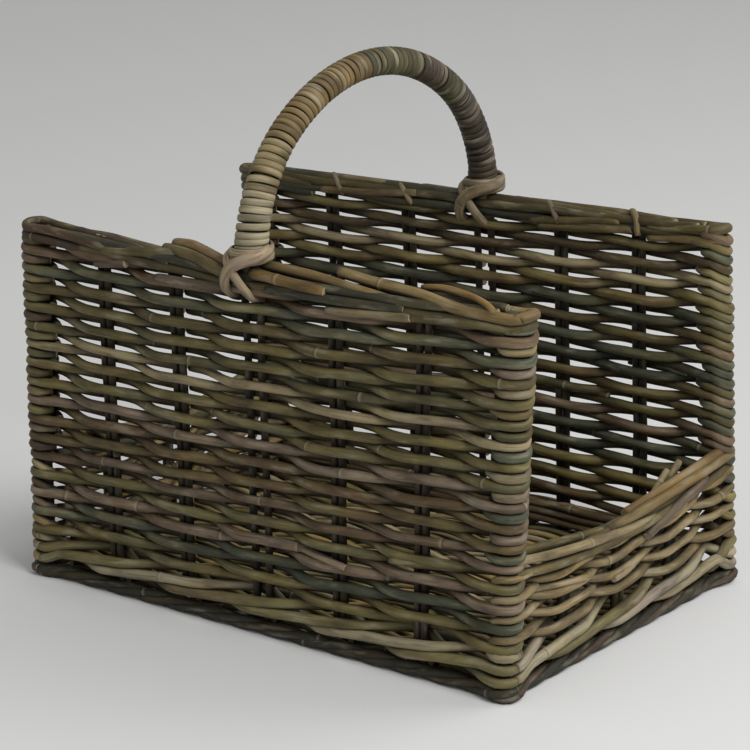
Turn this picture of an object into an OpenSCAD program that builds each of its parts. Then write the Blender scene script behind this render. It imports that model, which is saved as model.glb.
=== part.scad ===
// Open-ended log basket, woven from whole rattan rods: two tall long walls, two low end walls,
// a woven base on a rod border, and one arched handle bound with cane.
// X runs along the long walls, Y from the near wall to the far wall, Z up.
// The origin is at the middle of the footprint, on the surface that the basket stands on.

/* [Basket] */
// Outer length over the corner posts
basket_length = 478; // [400:1:560]
// Outer depth over the corner posts
basket_depth = 326; // [280:1:400]
// Height that the tall walls aim for; it is rounded down to whole weaving levels
wall_height = 301; // [240:1:360]
// Weaving levels of the low end walls, counted above the wale
end_wall_levels = 8; // [4:1:14]

/* [Rods] */
// Thickness of a wall weaver across the wall
weaver_width = 6.4; // [5.6:0.1:6.8]
// Height from one weaver to the next one on top of it
weaver_pitch = 7.3; // [6.6:0.1:8.4]
// Diameter of a wall stake
stake_d = 6.5; // [5:0.1:7.5]
// Diameter of a corner post
post_d = 11; // [9:0.5:14]
// Thickness of a wale rod across the wall
wale_width = 7.6; // [6.8:0.1:8.6]
// Height from one wale rod to the next
wale_pitch = 8.2; // [7.6:0.1:9]
// Number of wale rods on each side
wale_levels = 3; // [2:1:4]
// Diameter of the border rods that the basket stands on
border_d = 13; // [12:0.5:15]

/* [Base] */
// Diameter of a base stick
base_stick_d = 7; // [6:0.1:7.4]
// Thickness of a base weaver
base_weaver_t = 5; // [4:0.1:5]
// Distance between neighbouring base weavers
base_weaver_pitch = 7; // [6.5:0.1:9]

/* [Handle] */
// Diameter of the handle's cane core
core_d = 18; // [15:0.5:21]
// Diameter of the cane bound round the core
wrap_d = 4.5; // [3.5:0.1:4.8]
// Distance between turns of the binding
wrap_pitch = 5.6; // [5.4:0.1:7]
// Rise of the core's centreline above the tall walls
handle_rise = 128; // [110:1:170]
// Bend radius of the handle's shoulders
shoulder_r = 120; // [100:1:130]
// Diameter of the cane that lashes the handle's feet
lash_d = 5; // [4:0.1:6]

/* [Hidden] */
// Space left between rods that lie against each other
gap = 0.25;
$fn = 48;

LONG_BAYS = 6;
END_BAYS = 4;
SAMPLES_PER_BAY = 4;
HOOK_STEPS = 6;

// How far round a corner post a low rod goes before it meets the one from the next side
CORNER_TURN = 42;

// How far a rod's centreline stands off the wall's middle plane: at a post, at a stake, and in the wale
off_post = post_d / 2 + gap + weaver_width / 2;
off_stake = stake_d / 2 + gap + weaver_width / 2;
off_wale_post = post_d / 2 + gap + wale_width / 2;
off_wale_stake = stake_d / 2 + gap + wale_width / 2;

// Corner post centres, and the bays between stakes
post_x = basket_length / 2 - off_post - weaver_width / 2;
post_y = basket_depth / 2 - off_post - weaver_width / 2;
long_bay = 2 * post_x / LONG_BAYS;
end_bay = 2 * post_y / END_BAYS;

// Heights, from the floor up
FOOT_FLAT = 0.6;
border_z = border_d / 2 - FOOT_FLAT;
border_top = border_z + border_d / 2;
wale_z = border_top + 0.5;
weave_z = wale_z + wale_levels * wale_pitch;
RIM_LEVELS = 2;
wall_levels = floor((wall_height - RIM_LEVELS * weaver_pitch - weave_z) / weaver_pitch);
rim_z = weave_z + wall_levels * weaver_pitch;
rim_top = rim_z + RIM_LEVELS * weaver_pitch;
end_rim_z = weave_z + end_wall_levels * weaver_pitch;
end_rim_top = end_rim_z + RIM_LEVELS * weaver_pitch;

// Base: sticks across the basket, weavers along it
base_off = base_stick_d / 2 + gap / 2 + base_weaver_t / 2;
base_z = base_off + base_weaver_t / 2 + 0.5;
wale_inner = off_wale_post + wale_width / 2 + 2 * gap;
base_half_y = post_y - wale_inner;
base_weavers = floor(2 * base_half_y / base_weaver_pitch);
END_STICK_D = 6.4;
end_stick_x = post_x - wale_inner - END_STICK_D / 2 - gap;

// Handle: a shoulder arc at each side and one flatter arc over the top, whose centrelines meet smoothly
SHOULDER_TURN = 55;
top_r = shoulder_r + (post_y - shoulder_r) / cos(SHOULDER_TURN);
shoulder_z = rim_top + handle_rise + (top_r - shoulder_r) * sin(SHOULDER_TURN) - top_r;
handle_foot_z = rim_top + 1;
TAPER_H = 6;
tail_d = 6.4;
TAIL_END_Z = 30;
foot_angle = asin((handle_foot_z + TAPER_H - shoulder_z) / shoulder_r);
shoulder_length = shoulder_r * (SHOULDER_TURN - foot_angle) * PI / 180;
top_length = top_r * (180 - 2 * SHOULDER_TURN) * PI / 180;
handle_length = 2 * shoulder_length + top_length;
wrap_turns = floor(handle_length / wrap_pitch);

LASH_TILT = 25;
LASH_DROP = 50;
lash_z = rim_top + 0.6;
lash_off = off_post + weaver_width / 2 + gap + lash_d / 2;

CORNERS = ["near_left", "near_right", "far_left", "far_right"];
SIDES = ["near", "right", "far", "left"];

WEAVER_COLOUR = "#6b6147";
END_COLOUR = "#8a8062";
STAKE_COLOUR = "#4a4433";
POST_COLOUR = "#5c543e";
WALE_COLOUR = "#776d50";
BORDER_COLOUR = "#3c382d";
RIM_COLOUR = "#857a5a";
WRAP_COLOUR = "#8f866c";
LASH_COLOUR = "#a39a80";

// ---- Placing things on a side of the basket ----

// Turns a side's own frame (u along the wall, v towards the inside) into the basket's:
// 0 near, 1 right end, 2 far, 3 left end.
module on_side(side) {
    rotate([0, 0, 90 * side])
        translate([0, side % 2 == 0 ? -post_y : -post_x, 0])
            children();
}

function bays(side) = side % 2 == 0 ? LONG_BAYS : END_BAYS;
function bay(side) = side % 2 == 0 ? long_bay : end_bay;
function half(side) = bays(side) * bay(side) / 2;

// ---- Rods bent in one plane ----

function heading(p, i) =
    let (a = p[max(i - 1, 0)], b = p[min(i + 1, len(p) - 1)])
    (b - a) / norm(b - a);
function beside(p, d) = [for (i = [0:len(p) - 1]) let (t = heading(p, i)) p[i] + d * [-t[1], t[0]]];
function backwards(v) = [for (i = [len(v) - 1:-1:0]) v[i]];

module bent_rod(path, width, height) {
    linear_extrude(height)
        polygon(concat(beside(path, width / 2), backwards(beside(path, -width / 2))));
}

// A weaver swings from one face of the wall to the other once in each bay, flattened at each stake.
function swing(u, h, b) = max(-1, min(1, 1.35 * cos(180 * (u + h) / b)));
function stand_off(u, h, b, at_post, at_stake) =
    at_stake + (at_post - at_stake) * max(0, 1 - 2 * (h - abs(u)) / b);
function woven(side_sign, h, b, n, at_post, at_stake, trim) =
    let (step = b / SAMPLES_PER_BAY,
         us = concat([-h + trim],
                     [for (i = [1:n * SAMPLES_PER_BAY - 1]) if (i * step > trim && 2 * h - i * step > trim)
                         -h + i * step],
                     [h - trim]))
    [for (u = us) [u, side_sign * swing(u, h, b) * stand_off(u, h, b, at_post, at_stake)]];

// Points round the outside of a post at the end of a wall, from the turn angle down to the wall
function hook(end, side_sign, h, r, turn) =
    [for (k = [HOOK_STEPS:-1:1]) let (a = turn * k / HOOK_STEPS) [end * (h + r * sin(a)), side_sign * r * cos(a)]];

// One weaver whose ends go round the posts by the given turn
function weaver_path(side, side_sign, at_post, at_stake, turn, tail, trim) =
    let (h = half(side),
         left = turn > 0 ? hook(-1, side_sign, h, at_post, turn) : [],
         right = turn > 0 ? backwards(hook(1, side_sign, h, at_post, turn)) : [],
         tip = tail > 0 ? [[-h + tail, -side_sign * at_post]] : [])
    concat(tip, left,
           woven(side_sign, h, bay(side), bays(side), at_post, at_stake, trim),
           right, [for (p = tip) [-p[0], p[1]]]);

// Height, side of the post and end treatment of one weaver level
module weaver_level(side, level, z, pitch, width, at_post, at_stake, hooked) {
    outside = level % 2 == 0;
    side_sign = outside ? -1 : 1;
    HOOK_TAIL = 9;
    turn = hooked ? 180 : (outside ? CORNER_TURN : 0);
    trim = !hooked && !outside && side % 2 == 1 ? at_post + width / 2 + gap : 0;
    translate([0, 0, z + level * pitch])
        bent_rod(
            weaver_path(side, side_sign, at_post, at_stake, turn, hooked ? HOOK_TAIL : 0, trim),
            width,
            pitch - gap
        );
}

module levels(side, first, last, z, pitch, width, at_post, at_stake, hooked_from) {
    on_side(side)
        for (level = [first:last])
            weaver_level(side, level, z, pitch, width, at_post, at_stake, level >= hooked_from);
}

// ---- Border and base ----

// Border rod along one side, worn flat underneath where the basket stands on it
module foot_border(side) {
    long = side % 2 == 0;
    reach = long ? post_x + off_post : post_y - border_d / 2 - gap;
    color(BORDER_COLOUR)
        on_side(side)
            difference() {
                translate([-reach, 0, border_z])
                    rotate([0, 90, 0])
                        cylinder(d = border_d, h = 2 * reach);
                translate([-reach - 1, -border_d, -border_d])
                    cube([2 * reach + 2, 2 * border_d, border_d]);
            }
}

// Base sticks run from the near border to the far border: single at the ends, pairs between
module base_stick(i) {
    end = i == 0 || i == LONG_BAYS;
    d = end ? END_STICK_D : base_stick_d;
    x = end ? sign(i - 1) * end_stick_x : -post_x + i * long_bay;
    half_length = post_y - border_d / 2 - gap;
    color(STAKE_COLOUR)
        for (s = end ? [0] : [-1, 1])
            translate([x + s * (d + gap) / 2, -half_length, base_z])
                rotate([-90, 0, 0])
                    cylinder(d = d, h = 2 * half_length);
}

module base_weave() {
    first_y = -(base_weavers - 1) * base_weaver_pitch / 2;
    color(WEAVER_COLOUR)
        for (i = [0:base_weavers - 1])
            translate([0, first_y + i * base_weaver_pitch + (base_weaver_pitch - gap) / 2, base_z])
                rotate([90, 0, 0])
                    bent_rod(
                        woven(i % 2 == 0 ? 1 : -1, post_x, long_bay, LONG_BAYS, base_off, base_off, wale_inner),
                        base_weaver_t,
                        base_weaver_pitch - gap
                    );
}

module wale(side) {
    color(WALE_COLOUR)
        levels(side, 0, wale_levels - 1, wale_z, wale_pitch, wale_width,
               off_wale_post, off_wale_stake, wale_levels);
}

// ---- Uprights ----

// A corner post stops below the rim, which loops round the hollow above it
module corner_post(corner) {
    POST_SHORT = 4;
    color(POST_COLOUR)
        translate([(corner % 2 == 0 ? -1 : 1) * post_x, (corner < 2 ? -1 : 1) * post_y, border_top + gap])
            cylinder(d = post_d, h = rim_z - POST_SHORT - border_top - gap);
}

// Two sticks side by side; the middle pair of a long wall stands apart for the handle's tail
module stake_pair(side, i) {
    top = side % 2 == 0 ? rim_top : end_rim_top;
    STAKE_SHORT = 3;
    splayed = side % 2 == 0 && 2 * i == LONG_BAYS;
    spread = (stake_d + gap + (splayed ? tail_d + gap : 0)) / 2;
    color(STAKE_COLOUR)
        on_side(side)
            for (s = [-1, 1])
                translate([-half(side) + i * bay(side) + s * spread, 0, border_top + gap])
                    cylinder(d = stake_d, h = top - STAKE_SHORT - border_top - gap);
}

// ---- Walls ----

// A long wall's weavers turn round the posts above the low end walls, and meet the end weavers below
module long_weave(side) {
    color(WEAVER_COLOUR)
        levels(side, 0, wall_levels - 1, weave_z, weaver_pitch, weaver_width,
               off_post, off_stake, end_wall_levels + RIM_LEVELS);
}

module end_weave(side) {
    color(END_COLOUR)
        levels(side, 0, end_wall_levels - 1, weave_z, weaver_pitch, weaver_width,
               off_post, off_stake, end_wall_levels);
}

module stadium(h, r) {
    square([2 * h, 2 * r], center = true);
    for (s = [-1, 1])
        translate([s * h, 0])
            circle(r = r);
}

// The rim of a long wall: rods that run down both faces and loop round the post at each end
module long_rim(side) {
    color(RIM_COLOUR)
        on_side(side)
            for (level = [0:RIM_LEVELS - 1])
                translate([0, 0, rim_z + level * weaver_pitch])
                    linear_extrude(weaver_pitch - gap)
                        difference() {
                            stadium(half(side), off_post + weaver_width / 2);
                            stadium(half(side), off_post - weaver_width / 2);
                        }
}

// The rim of an end wall: an outer and an inner rod at each level, the outer ones turned to the corners
module end_rim(side) {
    h = half(side);
    inner_half = h - off_post - weaver_width / 2 - gap;
    outer = concat(hook(-1, -1, h, off_post, CORNER_TURN), [[-h, -off_post], [h, -off_post]],
                   backwards(hook(1, -1, h, off_post, CORNER_TURN)));
    color(RIM_COLOUR)
        on_side(side)
            for (level = [0:RIM_LEVELS - 1])
                translate([0, 0, end_rim_z + level * weaver_pitch]) {
                    bent_rod(outer, weaver_width, weaver_pitch - gap);
                    bent_rod([[-inner_half, off_post], [inner_half, off_post]], weaver_width, weaver_pitch - gap);
                }
}

// ---- Handle ----

// Places children at a distance along the bound part of the handle's centreline, with their Z along it
module along_handle(s) {
    t = min(s, handle_length - s);
    flip = s > handle_length / 2 ? 1 : 0;
    on_shoulder = t < shoulder_length;
    r = on_shoulder ? shoulder_r : top_r;
    angle = on_shoulder
        ? foot_angle + t / shoulder_length * (SHOULDER_TURN - foot_angle)
        : SHOULDER_TURN + (t - shoulder_length) / top_r * 180 / PI;
    mirror([0, flip, 0])
        translate([0, on_shoulder ? shoulder_r - post_y : 0,
                   on_shoulder ? shoulder_z : rim_top + handle_rise - top_r])
            rotate([-angle, 0, 0])
                translate([0, -r, 0])
                    children();
}

// An arc of the core that starts at the origin, square to Z, and bends towards +Y
module core_arc(r, from, to) {
    translate([0, r, 0])
        rotate([90, 0, -90])
            rotate_extrude(angle = to - from, start = from)
                translate([r, 0])
                    circle(d = core_d);
}

// One side of the arch. Both arcs grow from the joint between them, so that their ends match,
// and run past the foot and the middle, where they are cut square.
module core_half() {
    SPARE_TURN = 3;
    CUT_DEPTH = post_y + core_d;
    intersection() {
        translate([0, shoulder_r - post_y - shoulder_r * cos(SHOULDER_TURN),
                   shoulder_z + shoulder_r * sin(SHOULDER_TURN)])
            rotate([-SHOULDER_TURN, 0, 0]) {
                core_arc(shoulder_r, foot_angle - SHOULDER_TURN - SPARE_TURN, 0);
                core_arc(top_r, 0, 90 - SHOULDER_TURN + SPARE_TURN);
            }
        translate([-core_d, -CUT_DEPTH, handle_foot_z + TAPER_H])
            cube([2 * core_d, CUT_DEPTH, handle_rise + core_d]);
    }
    translate([0, -post_y, handle_foot_z])
        cylinder(d1 = core_d - 7, d2 = core_d - 1, h = TAPER_H + 1);
    translate([0, -post_y, TAIL_END_Z])
        cylinder(d = tail_d, h = handle_foot_z - TAIL_END_Z + 1);
}

// One cane, thick above the walls, with each end whittled to a tail pushed down between two stakes
module handle_core() {
    color(POST_COLOUR) {
        core_half();
        mirror([0, 1, 0])
            core_half();
    }
}

module ring(inside_r, d) {
    rotate_extrude()
        translate([inside_r + d / 2, 0])
            circle(d = d);
}

module handle_wrap() {
    slack = (handle_length - (wrap_turns - 1) * wrap_pitch) / 2;
    color(WRAP_COLOUR)
        for (i = [0:wrap_turns - 1])
            along_handle(slack + i * wrap_pitch)
                ring(core_d / 2 + gap, wrap_d);
}

// A cane over the rim beside the handle's foot, with a leg slanting down each face of the wall
module staple(off, tilt, x) {
    translate([x, 0, lash_z])
        rotate([0, tilt, 0]) {
            rotate([90, 0, 90])
                rotate_extrude(angle = 180)
                    translate([off, 0])
                        circle(d = lash_d);
            for (s = [-1, 1])
                translate([0, s * off, -LASH_DROP])
                    cylinder(d = lash_d, h = LASH_DROP);
        }
}

// Two crossing canes over the rim, and a collar round the handle above them
module handle_lashing(side) {
    COLLAR_AT = 13;
    wrap_r = core_d / 2 + gap + wrap_d;
    x = wrap_r + lash_d / 2 + 1;
    color(LASH_COLOUR) {
        on_side(side) {
            staple(lash_off, LASH_TILT, x);
            staple(lash_off + lash_d + gap, -LASH_TILT, -x);
        }
        mirror([0, side / 2, 0])
            along_handle(COLLAR_AT)
                ring(wrap_r + gap, lash_d);
    }
}

for (s = [0:3]) foot_border(s);
for (i = [0:LONG_BAYS]) base_stick(i);
base_weave();
for (s = [0:3]) wale(s);
for (c = [0:3]) corner_post(c);
for (i = [1:LONG_BAYS - 1]) stake_pair(0, i);
for (i = [1:LONG_BAYS - 1]) stake_pair(2, LONG_BAYS - i);
for (i = [1:END_BAYS - 1]) stake_pair(3, END_BAYS - i);
for (i = [1:END_BAYS - 1]) stake_pair(1, i);
long_weave(0);  // near_wall_weave
long_weave(2);  // far_wall_weave
end_weave(3);  // left_end_weave
end_weave(1);  // right_end_weave
long_rim(0);  // near_rim
long_rim(2);  // far_rim
end_rim(3);  // left_end_rim
end_rim(1);  // right_end_rim
handle_core();
handle_wrap();
handle_lashing(0);  // near_handle_lashing
handle_lashing(2);  // far_handle_lashing
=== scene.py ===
"""A weathered rattan log basket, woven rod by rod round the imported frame.

Lengths are metres in the frame's own axes: X runs along the long walls, -Y is the near wall and Z is up.
Every visible rod is a swept tube. Its place comes from the frame's boxes, then Lean moves it as the
finished basket has settled.
"""

import logging
import math
import random
from dataclasses import dataclass, field
from enum import Enum

import bmesh
import bpy
import numpy as np
from mathutils import Matrix, Vector

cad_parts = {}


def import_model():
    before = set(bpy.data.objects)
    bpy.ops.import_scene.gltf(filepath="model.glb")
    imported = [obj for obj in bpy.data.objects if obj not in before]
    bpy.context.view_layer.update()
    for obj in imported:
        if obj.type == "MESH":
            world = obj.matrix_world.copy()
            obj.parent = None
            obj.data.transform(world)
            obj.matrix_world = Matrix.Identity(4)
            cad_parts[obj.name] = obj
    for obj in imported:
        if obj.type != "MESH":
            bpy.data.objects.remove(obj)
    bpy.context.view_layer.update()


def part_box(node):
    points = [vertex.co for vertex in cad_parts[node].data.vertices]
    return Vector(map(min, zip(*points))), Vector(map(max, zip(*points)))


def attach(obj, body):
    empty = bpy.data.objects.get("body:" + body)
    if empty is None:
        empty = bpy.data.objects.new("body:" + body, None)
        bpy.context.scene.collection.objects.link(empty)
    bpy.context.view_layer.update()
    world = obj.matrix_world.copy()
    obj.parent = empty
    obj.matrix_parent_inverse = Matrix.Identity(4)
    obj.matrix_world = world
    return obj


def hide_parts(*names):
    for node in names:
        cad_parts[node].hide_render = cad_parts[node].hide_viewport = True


Socket = bpy.types.NodeSocket
LOG = logging.getLogger("log_basket")
MM = 0.001
NODE_SPACING = 165 * MM  # rattan has a leaf scar ring about this often along its length
LONG_ROWS = 16  # rows of weave in a long wall, each on two levels
END_ROWS = 4
END_SHARE = 0.86  # a rod's cut ends are rounded off to this share of its radius


def smooth(share: float) -> float:
    """The share eased in and out, held between 0 and 1."""
    share = min(1.0, max(0.0, share))
    return share * share * (3 - 2 * share)


def mix(a: float, b: float, share: float) -> float:
    """The value that lies the given share of the way from a to b."""
    return a + (b - a) * share


def spread(a: float, b: float, count: int) -> list[float]:
    """The ends of count equal steps from a to b, both a and b included."""
    return [mix(a, b, i / count) for i in range(count + 1)]


def run(path: list[Vector]) -> list[float]:
    """The distance along a line of each of its points."""
    made = [0.0]
    for a, b in zip(path, path[1:]):
        made.append(made[-1] + (b - a).length)
    return made


def linear(hex_colour: str) -> tuple[float, float, float, float]:
    """Turns an sRGB hex colour into the linear colour that a shader takes.

    Args:
        hex_colour: Six hex digits after a hash sign.

    Returns:
        Red, green, blue and an alpha of 1.
    """
    shares = [int(hex_colour[i : i + 2], 16) / 255 for i in (1, 3, 5)]
    made = [c / 12.92 if c <= 0.04045 else ((c + 0.055) / 1.055) ** 2.4 for c in shares]
    return (*made, 1.0)


# ------------------------------------------------------------------ where things are


class Side(Enum):
    """A wall: its name, the unit vector along it to the right as seen from outside, and the one outwards."""

    NEAR = ("near", Vector((1, 0, 0)), Vector((0, -1, 0)))
    RIGHT = ("right", Vector((0, 1, 0)), Vector((1, 0, 0)))
    FAR = ("far", Vector((-1, 0, 0)), Vector((0, 1, 0)))
    LEFT = ("left", Vector((0, -1, 0)), Vector((-1, 0, 0)))

    def __init__(self, label: str, along: Vector, out: Vector) -> None:
        """Keeps the wall's name and directions."""
        self.label = label
        self.along = along
        self.out = out

    @property
    def is_long(self) -> bool:
        """True for the two long walls."""
        return self in (Side.NEAR, Side.FAR)


@dataclass(frozen=True)
class Layout:
    """The frame's driving places, read from its node boxes."""

    post_x: float
    post_y: float
    post_r: float
    stake_r: float
    foot_top: float
    wale_z: float
    weave_z: float
    end_rim_z: float
    end_rim_top: float
    rim_z: float
    rim_top: float
    long_bays: int = 6
    end_bays: int = 4

    @classmethod
    def from_frame(cls) -> "Layout":
        """Reads the layout from the frame's nodes."""
        post_lo, post_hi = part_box("corner_post_far_right")
        stake_lo, stake_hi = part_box("near_stake_pair_1")
        end_lo, end_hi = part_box("right_end_rim")
        rim_lo, rim_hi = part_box("near_rim")
        return cls(
            post_x=(post_lo.x + post_hi.x) / 2,
            post_y=(post_lo.y + post_hi.y) / 2,
            post_r=(post_hi.x - post_lo.x) / 2,
            stake_r=(stake_hi.y - stake_lo.y) / 2,
            foot_top=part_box("foot_border_near")[1].z,
            wale_z=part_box("wale_near")[0].z,
            weave_z=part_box("near_wall_weave")[0].z,
            end_rim_z=end_lo.z,
            end_rim_top=end_hi.z,
            rim_z=rim_lo.z,
            rim_top=rim_hi.z,
        )

    def half(self, side: Side) -> float:
        """Half the distance between the posts of a wall."""
        return self.post_x if side.is_long else self.post_y

    def bays(self, side: Side) -> int:
        """How many bays the stakes divide a wall into."""
        return self.long_bays if side.is_long else self.end_bays

    def bay(self, side: Side) -> float:
        """The distance between neighbouring stakes of a wall."""
        return 2 * self.half(side) / self.bays(side)

    def spot(self, side: Side, u: float, v: float, z: float) -> Vector:
        """A point of a wall.

        Args:
            side: The wall.
            u: The distance along it from its middle, to the right as seen from outside.
            v: The distance outwards from the plane of its stakes.
            z: The height.

        Returns:
            The point in the frame's axes.
        """
        plane = self.post_y if side.is_long else self.post_x
        return side.along * u + side.out * (plane + v) + Vector((0, 0, z))


@dataclass(frozen=True)
class Lean:
    """How far the rims have moved from true since the basket was woven.

    Each rim has three shifts, at its left end, middle and right end along X.
    """

    layout: Layout
    near: tuple[Vector, Vector, Vector] = (
        Vector((0, 2, 1.5)) * MM,
        Vector((0, -6, -3)) * MM,
        Vector((7, 11, -1)) * MM,
    )
    far: tuple[Vector, Vector, Vector] = (
        Vector((-8, -20, -10)) * MM,
        Vector((0, -8, -8)) * MM,
        Vector((-7.5, -3.5, 0.5)) * MM,
    )
    power: float = 1.35

    def _at(self, shifts: tuple[Vector, Vector, Vector], s: float) -> Vector:
        """A rim's shift at the share s of half its length, from -1 to 1."""
        left, middle, right = shifts
        return middle + (right - left) * (s / 2) + ((right + left) / 2 - middle) * (s * s)

    def move(self, point: Vector) -> Vector:
        """Moves a point of the upright basket to where it has settled."""
        s = max(-1.05, min(1.05, point.x / self.layout.post_x))
        t = max(0.0, min(1.0, (point.y / self.layout.post_y + 1) / 2))
        height = max(0.0, min(1.0, point.z / self.layout.rim_top)) ** self.power
        return point + self._at(self.near, s).lerp(self._at(self.far, s), t) * height


# ------------------------------------------------------------------ finishes


class Hue(Enum):
    """The bark colours of aged rattan, as places on the bark ramp."""

    GREEN_GREY = 0.0
    OLIVE = 0.17
    UMBER = 0.34
    MAUVE = 0.5
    PALE = 0.67
    TAN = 0.84
    GOLD = 1.0


BARK_COLOURS = {
    Hue.GREEN_GREY: "#464b3f",
    Hue.OLIVE: "#655d39",
    Hue.UMBER: "#54432f",
    Hue.MAUVE: "#70635a",
    Hue.PALE: "#877e64",
    Hue.TAN: "#80704c",
    Hue.GOLD: "#7e683f",
}


def add_node(
    tree: bpy.types.NodeTree,
    kind: str,
    settings: dict[str, object] | None = None,
    sockets: dict[object, object] | None = None,
) -> bpy.types.Node:
    """Adds a node with its settings and links.

    Args:
        tree: The node tree.
        kind: The node's Blender type.
        settings: Its properties. "stops" fills a colour ramp with (place, colour) pairs.
        sockets: For each input's name or number, a value or the output socket that feeds it.

    Returns:
        The new node.
    """
    node = tree.nodes.new(kind)
    for name, value in (settings or {}).items():
        if name == "stops":
            elements = node.color_ramp.elements
            while len(elements) < len(value):
                elements.new(1.0)
            for element, (place, colour) in zip(elements, value):
                element.position = place
                element.color = colour
        else:
            setattr(node, name, value)
    for name, value in (sockets or {}).items():
        if isinstance(value, Socket):
            tree.links.new(value, node.inputs[name])
        else:
            node.inputs[name].default_value = value
    return node


@dataclass
class Shader:
    """A material being built, with short names for the nodes that the finishes share."""

    made: bpy.types.Material

    @classmethod
    def begin(cls, name: str) -> "Shader":
        """Starts an empty material."""
        made = bpy.data.materials.new(name)
        made.use_nodes = True
        made.node_tree.nodes.clear()
        return cls(made)

    def put(
        self,
        kind: str,
        settings: dict[str, object] | None = None,
        sockets: dict[object, object] | None = None,
        output: int | str = 0,
    ) -> Socket:
        """Adds a node, as add_node does, and returns one of its outputs."""
        return add_node(self.made.node_tree, kind, settings, sockets).outputs[output]

    def parts(self, vector: Socket) -> list[Socket]:
        """A vector's X, Y and Z."""
        return list(add_node(self.made.node_tree, "ShaderNodeSeparateXYZ", sockets={0: vector}).outputs)

    def ranged(self, value: Socket, taken: tuple[float, float], given: tuple[float, float]) -> Socket:
        """The value taken from one range to another, and held inside it."""
        return self.put("ShaderNodeMapRange", None, dict(enumerate((value, *taken, *given))))

    def maths(self, operation: str, a: Socket, b: Socket | float = 0.0) -> Socket:
        """The result of a sum on one or two values."""
        return self.put("ShaderNodeMath", {"operation": operation}, {0: a, 1: b})

    def mixed(self, share: object, a: object, b: object, blend: str = "MIX") -> Socket:
        """Colour a, turned into colour b by the share. A colour mix has its inputs at 6 and 7."""
        settings = {"data_type": "RGBA", "blend_type": blend}
        return self.put("ShaderNodeMix", settings, {0: share, 6: a, 7: b}, 2)

    def finish(
        self, skin: dict[object, object], height: Socket, strength: float, depth: float
    ) -> bpy.types.Material:
        """Joins a skin to the material's output.

        Args:
            skin: The skin's sockets.
            height: The relief, about 0 to 1.
            strength: How strongly the relief shades, from 0 to 1.
            depth: The relief's depth in metres.

        Returns:
            The material.
        """
        bump = self.put("ShaderNodeBump", None, {"Strength": strength, "Distance": depth, "Height": height})
        surface = self.put("ShaderNodeBsdfPrincipled", None, {**skin, "Normal": bump})
        add_node(self.made.node_tree, "ShaderNodeOutputMaterial", sockets={"Surface": surface})
        return self.made


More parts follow.
